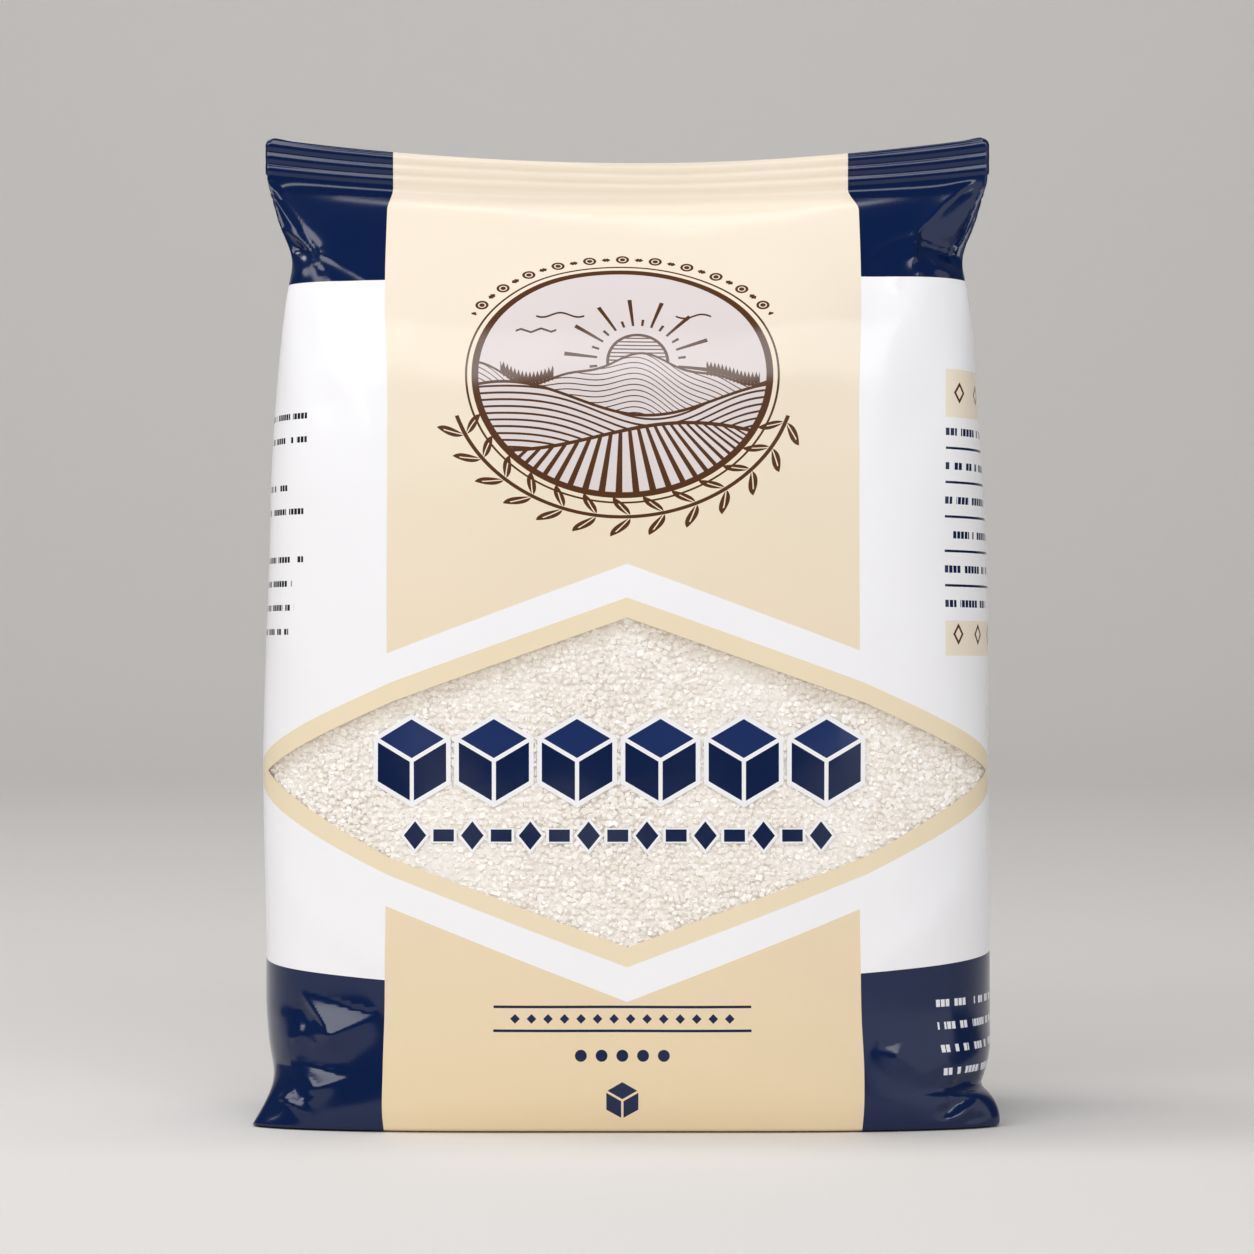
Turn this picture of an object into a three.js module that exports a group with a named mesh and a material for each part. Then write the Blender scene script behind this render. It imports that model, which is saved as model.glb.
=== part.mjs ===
// A bag of sugar: a filled film pack that stands upright, with a crimped seal across its top, sides that
// tuck in below the seal, and the corners of its folded base standing out as two small ears.
// Millimetres, +Z up, the front faces -Y. The origin is the middle of the flat base.

import * as THREE from 'three';
import { ParametricGeometry } from 'three/addons/geometries/ParametricGeometry.js';
import { mergeVertices } from 'three/addons/utils/BufferGeometryUtils.js';

const { clamp, lerp, smoothstep } = THREE.MathUtils;

// Driving dimensions
const packHeight = 197; // to the raised ends of the seal
const bodyHalfWidth = 73;
const bodyHalfDepth = 33;
const sealHeight = 7.6; // at the ends of the seal
const sealHalfWidth = 73;
const filmThickness = 1; // of the seal, where all the layers lie together
const bottomSag = 3.2; // how far the middle of the seal hangs below its ends, along its lower line
const topSag = 5; // and along its top edge
const sagStart = 150; // the height at which the sag begins
const ribPitch = 1.9;
const ribDepth = 0.22;
const waveLength = 96; // of the seal's slow waves from side to side
const waveDepth = 1.1;
const earReach = 8; // how far an ear stands out at the floor
const earHeight = 10;
const earForward = 15; // the ears lie this far in front of the middle
const earHalfSpan = 12;
const around = 84; // faces around the pack

const sealFoot = packHeight - sealHeight;

// The form, from the middle line of the base up to the middle line of the top edge. Each station has a
// height, half width, half depth, squareness (the exponent of its rounded section), how deep the sides
// are tucked in there, and the rows of faces up to the next station.
const stations = [
	{ height: 0, halfWidth: 68.5, halfDepth: 0, square: 3.4, tuck: 0, rows: 1 },
	{ height: 0, halfWidth: 68.5, halfDepth: 28.5, square: 3.4, tuck: 0, rows: 2 },
	{ height: 2.2, halfWidth: 69.8, halfDepth: 31.6, square: 3.3, tuck: 0, rows: 3 },
	{ height: 9, halfWidth: 71, halfDepth: 32.6, square: 3.1, tuck: 0, rows: 3 },
	{ height: 30, halfWidth: bodyHalfWidth, halfDepth: bodyHalfDepth, square: 2.9, tuck: 0, rows: 4 },
	{ height: 70, halfWidth: bodyHalfWidth, halfDepth: bodyHalfDepth, square: 2.8, tuck: 0, rows: 3 },
	{ height: 102, halfWidth: 72.6, halfDepth: 31.8, square: 2.8, tuck: 0, rows: 3 },
	{ height: 130, halfWidth: 71.6, halfDepth: 28.4, square: 2.7, tuck: 0, rows: 3 },
	{ height: 150, halfWidth: 70.2, halfDepth: 23.8, square: 2.6, tuck: 1.5, rows: 3 },
	{ height: 165, halfWidth: 68.8, halfDepth: 17.6, square: 2.5, tuck: 6, rows: 3 },
	{ height: 176, halfWidth: 67.8, halfDepth: 10.8, square: 2.4, tuck: 9, rows: 3 },
	{ height: 184, halfWidth: 70.4, halfDepth: 4.6, square: 2.2, tuck: 7, rows: 3 },
	{ height: sealFoot, halfWidth: sealHalfWidth - 0.4, halfDepth: 0.9, square: 2.3, tuck: 0, rows: 1 },
	{ height: sealFoot + 0.6, halfWidth: sealHalfWidth, halfDepth: filmThickness / 2, square: 2.4, tuck: 0, rows: 7 },
	{ height: packHeight, halfWidth: sealHalfWidth, halfDepth: filmThickness / 2, square: 2.4, tuck: 0, rows: 1 },
	{ height: packHeight, halfWidth: sealHalfWidth, halfDepth: 0, square: 2.4, tuck: 0, rows: 0 },
];

// A curve through the stations, with the number of rows below a station as its position.
function formCurve() {
	const rowsBelow = [];
	let rows = 0;
	for (const station of stations) {
		rowsBelow.push(rows);
		rows += station.rows;
	}
	const values = stations.flatMap(({ height, halfWidth, halfDepth, square, tuck }) => [
		height, halfWidth, halfDepth, square, tuck,
	]);
	return { rows, curve: new THREE.CubicInterpolant(rowsBelow, values, 5, []) };
}

// A corner-rounded section: an ellipse whose exponent makes it squarer. The rounding error of a zero
// sine or cosine is cut off first, as the exponent would make it large.
function roundedSection(angle, halfWidth, halfDepth, square) {
	const bend = (part) => (Math.abs(part) < 1e-9 ? 0 : Math.sign(part) * Math.abs(part) ** (2 / square));
	return { x: halfWidth * bend(Math.cos(angle)), y: halfDepth * bend(Math.sin(angle)) };
}

// The sides fold inwards in a V, deepest at the middle of the side.
function tuckedIn(x, y, halfDepth, tuck) {
	const openness = 1 - Math.abs(y) / Math.max(halfDepth * 0.85, 0.01);
	return x - Math.sign(x) * tuck * clamp(openness, 0, 1);
}

// An ear is widest on the floor and runs out to nothing at its height.
function withEar(x, y, height, halfWidth) {
	const beside = Math.exp(-(((y + earForward) / earHalfSpan) ** 2)) * smoothstep(Math.abs(x), halfWidth * 0.8, halfWidth);
	return x + Math.sign(x) * earReach * beside * clamp(1 - height / earHeight, 0, 1);
}

// The top hangs a little in the middle, and the seal waves slowly from side to side across its ribs.
function sagged(x, height) {
	const share = clamp((height - sealFoot) / sealHeight, 0, 1);
	const sag = lerp(bottomSag, topSag, share) * smoothstep(height, sagStart, sealFoot);
	return height - sag * (1 - (x / sealHalfWidth) ** 2);
}

function waved(x, y, height) {
	const wave = waveDepth * Math.sin((2 * Math.PI * x) / waveLength + 0.6) * smoothstep(height, sealFoot - 10, packHeight);
	const inSeal = smoothstep(height, sealFoot, sealFoot + 1);
	const rib = ribDepth * Math.cos((2 * Math.PI * (height - sealFoot)) / ribPitch) * inSeal;
	return y + wave + rib;
}

// One closed body. Rows that close on a middle line leave faces with no area there, which are dropped.
function packGeometry() {
	const { rows, curve } = formCurve();
	const surface = new ParametricGeometry((u, v, target) => {
		const [height, halfWidth, halfDepth, square, tuck] = curve.evaluate(v * rows);
		const angle = 2 * Math.PI * u;
		const section = roundedSection(angle, halfWidth, halfDepth, square);
		const x = withEar(tuckedIn(section.x, section.y, halfDepth, tuck), section.y, height, halfWidth);
		target.set(x, waved(x, section.y, height), sagged(x, height));
	}, around, rows);
	surface.deleteAttribute('normal');
	surface.deleteAttribute('uv');
	const geometry = mergeVertices(surface, 1e-3);
	const corners = geometry.index.array;
	const faces = [];
	for (let i = 0; i < corners.length; i += 3) {
		const [a, b, c] = corners.slice(i, i + 3);
		if (a !== b && b !== c && c !== a) faces.push(a, b, c);
	}
	geometry.setIndex(faces);
	geometry.computeVertexNormals();
	return geometry;
}

const printedFilm = new THREE.MeshStandardMaterial({ color: 0xefe6d3, roughness: 0.35, metalness: 0 });

const bag = new THREE.Group();
const sugarBag = new THREE.Mesh(packGeometry(), printedFilm);
sugarBag.name = 'sugar_bag';
bag.add(sugarBag);

export default bag;
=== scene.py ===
import math

import bpy
import numpy as np
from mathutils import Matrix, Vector


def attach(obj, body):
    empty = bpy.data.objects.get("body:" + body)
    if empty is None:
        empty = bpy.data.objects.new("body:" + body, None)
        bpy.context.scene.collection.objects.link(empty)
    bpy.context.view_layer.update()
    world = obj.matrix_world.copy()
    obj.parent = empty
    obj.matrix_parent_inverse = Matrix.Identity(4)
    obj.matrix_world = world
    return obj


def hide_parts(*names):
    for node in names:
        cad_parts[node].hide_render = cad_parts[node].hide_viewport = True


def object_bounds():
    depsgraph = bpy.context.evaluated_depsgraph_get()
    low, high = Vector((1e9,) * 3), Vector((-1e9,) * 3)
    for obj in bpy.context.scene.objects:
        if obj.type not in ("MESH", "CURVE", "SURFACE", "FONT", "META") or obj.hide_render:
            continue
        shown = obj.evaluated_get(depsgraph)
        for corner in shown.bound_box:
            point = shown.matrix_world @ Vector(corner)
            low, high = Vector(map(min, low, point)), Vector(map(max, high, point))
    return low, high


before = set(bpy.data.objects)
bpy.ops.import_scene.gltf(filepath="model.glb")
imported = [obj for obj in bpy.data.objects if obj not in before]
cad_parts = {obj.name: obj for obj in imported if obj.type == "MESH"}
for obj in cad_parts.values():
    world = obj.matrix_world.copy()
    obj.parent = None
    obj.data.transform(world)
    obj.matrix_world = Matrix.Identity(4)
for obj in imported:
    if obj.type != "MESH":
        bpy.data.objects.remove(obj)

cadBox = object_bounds()
mm = 0.001
eye = (0, -0.933, 0.125)  # where the photograph was taken from

# The sheet that the pack is formed from, in mm. It is a tube of this girth, with its seam up the middle
# of the back. s runs round it from the middle of the front, v runs up it from the middle line of the base.
sheet = {
    "girth": 363.0,
    "baseRun": 33.0,  # from the middle line of the base to its edge
    "sealHeight": 7.6,
    "sealHalfWidth": 73.0,
    "sealLayers": (0.15, 0.45),  # how far the inner and the outer layers lie from the middle of the seal
    "sealFoot": cadBox[1].z / mm - 7.6,
    "sealSag": 3.6,
    "sealTopSag": 1.5,  # the top edge sags this much more
    "sealCorner": 1.7,
    "sagFrom": 150.0,  # the heights at which the head begins to sag, to wave and to close
    "waveFrom": 179.0,
    "closesFrom": 181.0,
    "waveDepth": 1.1,
    "waveLength": 96.0,
    "ribPitch": 2.45,
    "ribDepth": 0.4,
    "baseLift": 0.42,
    "tuckShare": 0.35,  # how far a tuck opens for each mm of spare film
    "tuckOpening": 0.3,  # of the half depth, at most
    "earReach": (8.3, 7.8),  # left, right
    "earHeight": (11.5, 7.0),
    "earFrom": 48.0,  # from the middle
    "earGrowth": 18.0,  # and over this run it comes out fully
    "earForward": 24.0,
    "earSpan": 9.0,
    "backEar": 0.7,  # of the front ear
    "rightFoot": 1.3,  # the right side is fuller just above its ear
    "rightFootAt": 11.0,
}
sheet["gusset"] = (sheet["girth"] / 2 - 2 * sheet["sealHalfWidth"]) / 2

# The form of the full pack: height, half width, half depth and squareness, in mm.
formTable = np.array([
    [0, 68.5, 32.0, 5.0],
    [4, 69.3, 33.2, 4.4],
    [9, 70.8, 33.5, 3.7],
    [14, 72.2, 33.5, 3.3],
    [22, 73.1, 33.2, 3.0],
    [70, 73.0, 33.0, 2.8],
    [102, 72.6, 32.2, 2.85],
    [128, 71.7, 30.4, 2.85],
    [148, 70.5, 26.6, 2.85],
    [160, 69.6, 22.4, 2.95],
    [168, 68.6, 18.0, 3.2],
    [174.3, 67.2, 13.6, 3.6],
    [181, 71.1, 8.0, 3.7],
    [186, 72.3, 3.2, 3.4],
    [189.4, 73.0, 0.45, 3.0],
])
formHeights = np.linspace(0, sheet["sealFoot"], 380)


def evenWeights(reach, spread):
    # weights for a soft mean over this many neighbours on each side
    weights = np.exp(-((np.arange(-reach, reach + 1) / spread) ** 2))
    return weights / weights.sum()


def softCurve(column, reach=24, spread=6.0):
    # a column of the table as a smooth curve, carried on straight past both of its ends
    plain = np.interp(formHeights, formTable[:, 0], column)
    below = 2 * plain[0] - plain[reach:0:-1]
    above = 2 * plain[-1] - plain[-2:-reach - 2:-1]
    return np.convolve(np.concatenate([below, plain, above]), evenWeights(reach, spread), "valid")


formCurves = [softCurve(column) for column in formTable.T[1:]]


def formAt(height):
    return [float(np.interp(height, formHeights, curve)) for curve in formCurves]


def sectionPoint(halfWidth, halfDepth, square, s):
    # where points lie on the pack's level section; spare film is tucked in at the sides, in a V
    quarter = sheet["girth"] / 4
    angle = np.linspace(0, math.pi / 2, 400)
    ringX = halfWidth * np.sin(angle) ** (2 / square)
    ringY = halfDepth * np.cos(angle) ** (2 / square)
    run = np.concatenate([[0], np.cumsum(np.hypot(np.diff(ringX), np.diff(ringY)))])
    spare = quarter - run[-1]
    place = np.minimum(np.abs(s), 2 * quarter - np.abs(s))
    if spare <= 0:
        place = place * run[-1] / quarter
        x = np.interp(place, run, ringX)
        y = np.interp(place, run, ringY)
    else:
        opening = min(sheet["tuckShare"] * spare + min(spare, 1), sheet["tuckOpening"] * halfDepth)
        tuckStart = np.interp(-opening, -ringY, run)
        startX = np.interp(tuckStart, run, ringX)
        length = quarter - tuckStart
        depth = math.sqrt(max(length ** 2 - opening ** 2, 0))
        share = np.clip((place - tuckStart) / length, 0, 1)
        x = np.where(place < tuckStart, np.interp(place, run, ringX), startX - depth * share)
        y = np.where(place < tuckStart, np.interp(place, run, ringY), opening * (1 - share))
        x = x + (halfWidth - startX) * smooth(place, 0.6 * quarter, tuckStart)
    return np.sign(s) * x, np.where(np.abs(s) < quarter, -y, y)


def smooth(value, start, end):
    share = np.clip((value - start) / (end - start), 0, 1)
    return share * share * (3 - 2 * share)


def sealPoint(s):
    # the four layers that lie together in the seal: front, the two halves of the tucked side, back
    half = sheet["girth"] / 2
    edge = sheet["sealHalfWidth"]
    inner, outer = sheet["sealLayers"]
    run = np.abs(s)
    x = np.interp(run, [0, edge, half / 2, half - edge, half], [0, edge, edge - sheet["gusset"], edge, 0])
    front = np.where(run < edge, -outer, -inner)
    back = np.where(run < half - edge, inner, outer)
    return np.sign(s) * x, np.where(run < half / 2, front, back)


def withEar(x, y, height):
    # the corners of the folded base stand out at the floor, the left one pointed, the right one rounded
    atFront, atBack = (np.exp(-((y - middle) / sheet["earSpan"]) ** 2)
                       for middle in (-sheet["earForward"], sheet["earForward"]))
    grown = np.clip((np.abs(x) - sheet["earFrom"]) / sheet["earGrowth"], 0, 1)
    left = sheet["earReach"][0] * np.clip(1 - height / sheet["earHeight"][0], 0, 1)
    right = sheet["earReach"][1] * np.sqrt(np.clip(1 - (height / sheet["earHeight"][1]) ** 2, 0, 1))
    return x + np.sign(x) * np.where(x < 0, left, right) * (atFront + sheet["backEar"] * atBack) * grown


def hung(x, y, z):
    # the head hangs a little in the middle and waves slowly from side to side
    sag = sheet["sealSag"] * smooth(z, sheet["sagFrom"], sheet["sealFoot"])
    wave = np.sin(2 * np.pi * x / sheet["waveLength"] + 0.6) * np.clip((z - sheet["waveFrom"]) / 10, 0, 1)
    return y + sheet["waveDepth"] * wave, z - sag * (1 - (x / sheet["sealHalfWidth"]) ** 2)


# How far up the sheet each height of the front lies
risen = np.concatenate([[0], np.cumsum(np.hypot(np.diff(formHeights), np.diff(formCurves[1])))])
sheet["panel"] = risen[-1] - sheet["sealSag"]
sheet["sealStart"] = sheet["baseRun"] + sheet["panel"]
sheet["height"] = sheet["sealStart"] + sheet["sealHeight"]


def formPoint(s, v):
    # where the points of one row of the sheet lie on the filled pack
    if v <= sheet["baseRun"] + 1e-6:
        x, y = sectionPoint(*formAt(0), s)
        share = 0.1 + 0.9 * v / sheet["baseRun"]
        return np.stack([withEar(x, y, 0) * share, y * share, np.full_like(s, sheet["baseLift"])], 1)
    if v >= sheet["sealStart"] - 1e-6:
        x, y = sealPoint(s)
        y, z = hung(x, y, np.full_like(s, sheet["sealFoot"] + v - sheet["sealStart"]))
        return np.stack([x, y, z], 1)
    run = v - sheet["baseRun"]
    front = np.interp(run / sheet["panel"] * risen[-1], risen, formHeights)
    beside = np.interp(run, [0, sheet["sagFrom"], sheet["panel"]], [0, sheet["sagFrom"], sheet["sealFoot"]])
    halfWidth, halfDepth, square = formAt(front)
    x, y = sectionPoint(halfWidth, halfDepth, square, s)
    side = np.clip(1 - np.abs(y) / halfDepth, 0, 1) ** 0.7
    z = front * (1 - side) + beside * side
    x = withEar(x, y, z)
    x += sheet["rightFoot"] * np.exp(-((z - sheet["rightFootAt"]) / 7) ** 2) * smooth(x, 40, 70)
    sealX, sealY = sealPoint(s)
    closed = smooth(z, sheet["closesFrom"], sheet["sealFoot"])
    x = x * (1 - closed) + sealX * closed
    y = y * (1 - closed ** 4) + sealY * closed ** 4
    y, z = hung(x, y, z + sheet["baseLift"] * (1 - closed))
    return np.stack([x, y, z], 1)


def formRows():
    rowsUp = np.concatenate([
        np.linspace(0, sheet["baseRun"], 13)[:-1],
        np.linspace(sheet["baseRun"], sheet["baseRun"] + 12, 25)[:-1],
        np.linspace(sheet["baseRun"] + 12, 170, 80)[:-1],
        np.linspace(170, sheet["sealStart"], 90)[:-1],
        np.linspace(sheet["sealStart"], sheet["height"], 4),
    ])
    columns = 520
    around = (np.arange(columns) / columns - 0.5) * sheet["girth"]
    rows = np.array([formPoint(around, v) for v in rowsUp])
    # the bends round the pack are as soft as film's
    soft = sum(weight * np.roll(rows, k, 1) for k, weight in zip(range(-4, 5), evenWeights(4, 2.2)))
    loose = smooth(rowsUp, sheet["baseRun"], sheet["baseRun"] + 4)
    loose = loose * (1 - 0.8 * smooth(rowsUp, sheet["sealStart"] - 8, sheet["sealStart"]))
    rows += (soft - rows) * loose[:, None, None]
    return rowsUp, rows


def meshFromRows(name, rows):
    # a tube of rows of points, closed round
    rowCount, columnCount = rows.shape[:2]
    index = np.arange(rowCount * columnCount).reshape(rowCount, columnCount)
    after = np.roll(index, -1, 1)
    faces = np.stack([index[:-1], after[:-1], after[1:], index[1:]], -1).reshape(-1, 4)
    mesh = bpy.data.meshes.new(name)
    mesh.from_pydata(rows.reshape(-1, 3).tolist(), [], faces.tolist())
    piece = bpy.data.objects.new(name, mesh)
    bpy.context.collection.objects.link(piece)
    return piece


print("forming the film")
rowsUp, settled = formRows()
print("film formed:", settled.reshape(-1, 3).min(0).round(1), settled.reshape(-1, 3).max(0).round(1))


def curveShares(share):
    # weights of the four neighbours on a smooth curve through them
    square, cube = share ** 2, share ** 3
    return np.stack([
        -0.5 * cube + square - 0.5 * share,
        1.5 * cube - 2.5 * square + 1,
        -1.5 * cube + 2 * square + 0.5 * share,
        0.5 * cube - 0.5 * square,
    ])


def settledPoint(s, v):
    rowCount, columns = settled.shape[:2]
    column = (s / sheet["girth"] + 0.5) * columns
    row = np.interp(v, rowsUp, np.arange(rowCount))
    firstColumn = np.floor(column).astype(int)
    firstRow = np.clip(np.floor(row).astype(int), 0, rowCount - 2)
    across = curveShares(column - firstColumn)
    up = curveShares(row - firstRow)
    point = np.zeros((len(s), 3))
    for j in range(4):
        for i in range(4):
            corner = settled[np.clip(firstRow + j - 1, 0, rowCount - 1), (firstColumn + i - 1) % columns]
            point += (up[j] * across[i])[:, None] * corner
    return point


def filmPoint(s, v):
    # a point of the finished film, in mm, from its place on the sheet
    s = np.asarray(s, float)
    v = np.asarray(v, float)
    point = settledPoint(s, np.minimum(v, sheet["height"]))
    base = v < sheet["baseRun"]
    if base.any():
        x, y = sectionPoint(*formAt(0), s[base])
        share = v[base] / sheet["baseRun"]
        eared = x + (withEar(x, y, 0) - x) * smooth(share, 0.2, 1)
        x = eared * (0.94 + 0.06 * share)
        point[base] = np.stack([x, y * share, np.full_like(x, sheet["baseLift"])], 1)
    seal = v >= sheet["sealStart"]
    if seal.any():
        x, y = sealPoint(s[seal])
        up = np.minimum(v[seal], sheet["height"]) - sheet["sealStart"]
        lid = np.clip((v[seal] - sheet["height"]) / 0.5, 0, 1)  # past the top edge the layers close
        y, z = hung(x, y * (1 - lid), sheet["sealFoot"] + up)
        z -= sheet["sealTopSag"] * up / sheet["sealHeight"] * (1 - (x / sheet["sealHalfWidth"]) ** 2)
        wander = 0.12 * np.sin(x / 9.0 + 1) + 0.1 * np.sin(x / 23.0)  # the ribs aren't quite straight
        corner = sheet["sealCorner"]
        over = np.clip(up - (sheet["sealHeight"] - corner), 0, corner)
        short = corner - np.sqrt(corner ** 2 - over ** 2)
        x -= np.sign(x) * short * smooth(np.abs(x), sheet["sealHalfWidth"] - 6, sheet["sealHalfWidth"])
        rib = 1 - np.abs(np.sin(np.pi * (up + wander) / sheet["ribPitch"])) ** 0.7
        y += sheet["ribDepth"] * (rib - 0.5) * smooth(up, 0, 0.8) * (1 - lid)
        point[seal] = np.stack([x, y, z], 1)
    return point


# Where the print lies on the sheet is worked out from heights on the front of the finished pack.
frontRun = np.arange(sheet["baseRun"], sheet["height"], 0.25)
frontHeights = filmPoint(np.zeros_like(frontRun), frontRun)[:, 2]


def upSheet(height):
    return float(np.interp(height, frontHeights, frontRun))


bpy.ops.object.select_all(action="DESELECT")

# The window's edge, in mm on the sheet: apex, then how fast it falls to the two breaks in its line
window = {
    "top": 101.1,
    "bottom": 36.6,
    "breakAt": 47,
    "tipAt": 78.5,
    "topSlopes": (0.352, 0.435),
    "bottomSlopes": (0.375, 0.53),
}
edgeMarks = (0, window["breakAt"], window["tipAt"])


def edgeLine(apex, slopes, sign):
    # the heights of the window's edge at its apex, its break and its tip
    first = apex + sign * slopes[0] * window["breakAt"]
    return apex, first, first + sign * slopes[1] * (window["tipAt"] - window["breakAt"])


def readPoints(mesh):
    points = np.zeros(len(mesh.vertices) * 3)
    mesh.vertices.foreach_get("co", points)
    return points.reshape(-1, 3)


def setPoints(mesh, points):
    mesh.vertices.foreach_set("co", np.asarray(points, np.float32).ravel())
    mesh.update()


def setSheetMap(mesh, s, v):
    # a piece's map says where each of its points lies on the sheet, with 100 mm as 1
    corners = np.zeros(len(mesh.loops), int)
    mesh.loops.foreach_get("vertex_index", corners)
    mesh.uv_layers[0].name = "sheetMap"
    places = np.stack([s, v], 1)[corners] * 0.01
    mesh.uv_layers[0].data.foreach_set("uv", places.astype(np.float32).ravel())


def flatSheet(name):
    # the sheet laid flat, one unit a mm, with finer rows in the head, the foot and the seal
    rows = np.concatenate([
        np.linspace(0, sheet["baseRun"], 12)[:-1],
        np.linspace(sheet["baseRun"], 66, 60)[:-1],
        np.linspace(66, 184, 66)[:-1],
        np.linspace(184, sheet["sealStart"], 84)[:-1],
        np.linspace(sheet["sealStart"], sheet["height"], 22),
        [sheet["height"] + 0.25, sheet["height"] + 0.5],
    ])
    half = np.concatenate([
        np.linspace(0, 46, 24)[:-1],
        np.linspace(46, 92, 86)[:-1],
        np.linspace(92, 108, 12)[:-1],
        np.linspace(108, 136, 34)[:-1],
        np.linspace(136, sheet["girth"] / 2, 24),
    ])
    columns = np.concatenate([-half[:0:-1], half])
    bpy.ops.mesh.primitive_grid_add(x_subdivisions=len(columns) - 1, y_subdivisions=len(rows) - 1, size=1)
    piece = bpy.context.object
    piece.name = piece.data.name = name
    across, up = np.meshgrid(columns, rows)
    setPoints(piece.data, np.stack([across, up, np.zeros_like(up)], -1))
    return piece


def facesWhere(piece, rule):
    # selects the faces whose middle fits the rule
    mesh = piece.data
    middles = np.zeros(len(mesh.polygons) * 3)
    mesh.polygons.foreach_get("center", middles)
    chosen = rule(*middles.reshape(-1, 3).T)
    mesh.vertices.foreach_set("select", np.zeros(len(mesh.vertices), bool))
    mesh.edges.foreach_set("select", np.zeros(len(mesh.edges), bool))
    mesh.polygons.foreach_set("select", chosen)
    bpy.ops.object.mode_set(mode="EDIT")
    bpy.ops.mesh.select_mode(type="FACE")


def cutAlong(piece, start, end):
    # cuts the faces of the strip between two points of the flat sheet along the line that joins them
    lowS, highS = sorted((start[0], end[0]))
    lowV, highV = sorted((start[1], end[1]))
    facesWhere(piece, lambda s, v, z: (s > lowS) & (s < highS) & (v > lowV - 2) & (v < highV + 2))
    across = Vector((end[1] - start[1], start[0] - end[0], 0)).normalized()
    bpy.ops.mesh.bisect(plane_co=(*start, 0), plane_no=across, threshold=1e-4)
    bpy.ops.object.mode_set(mode="OBJECT")


def windowRule(s, v, z=0):
    run = np.abs(s)
    under = v < np.interp(run, edgeMarks, windowTop)
    over = v > np.interp(run, edgeMarks, windowBottom)
    return under & over & (run < window["tipAt"])


windowTop = [upSheet(z) for z in edgeLine(window["top"], window["topSlopes"], -1)]
windowBottom = [upSheet(z) for z in edgeLine(window["bottom"], window["bottomSlopes"], 1)]
windowTop[2] = windowBottom[2] = (windowTop[2] + windowBottom[2]) / 2

film = flatSheet("bag_film")
for line in (windowTop, windowBottom):
    for side in (-1, 1):
        for k in (0, 1):
            cutAlong(film, (side * edgeMarks[k], line[k]), (side * edgeMarks[k + 1], line[k + 1]))
setSheetMap(film.data, *readPoints(film.data).T[:2])

facesWhere(film, windowRule)
bpy.ops.mesh.separate(type="SELECTED")
bpy.ops.object.mode_set(mode="OBJECT")
windowFilm = [o for o in bpy.context.selected_objects if o != film][0]
windowFilm.name = windowFilm.data.name = "window_film"
print("film cut:", len(film.data.polygons), "faces, window:", len(windowFilm.data.polygons))


def wrap(piece):
    # puts a piece of the flat sheet onto the pack
    s, v = readPoints(piece.data).T[:2]
    point = filmPoint(s, v)
    normal = sheetNormal(s, v)
    pressed = smooth(v, sheet["baseRun"] + 0.5, sheet["baseRun"] + 2)
    pressed = pressed * (1 - smooth(v, sheet["sealStart"] - 3.5, sheet["sealStart"] - 0.3))
    point += normal * undulation(s, v)[:, None] + pressedIn(point, normal, s) * pressed[:, None]
    setPoints(piece.data, point * mm)


def sheetNormal(s, v, step=0.6):
    across = filmPoint(s + step, v) - filmPoint(s - step, v)
    up = filmPoint(s, np.minimum(v + step, sheet["height"])) - filmPoint(s, np.maximum(v - step, 0))
    normal = np.cross(across, up)
    return normal / np.maximum(np.linalg.norm(normal, axis=1), 1e-9)[:, None]


def undulation(s, v):
    # slow unevenness of the filled body, none in the base and the seal
    free = smooth(v, sheet["baseRun"] + 2, sheet["baseRun"] + 20) * (1 - smooth(v, 200, 215))
    turn = 2 * np.pi * s / sheet["girth"]
    value = 0.22 * np.sin(5 * turn + v / 23 + 0.8) * np.sin(v / 31 + 1.9)
    value += 0.16 * np.sin(9 * turn - v / 17 + 2.2) + 0.1 * np.sin(14 * turn + v / 11)
    return value * free


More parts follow.
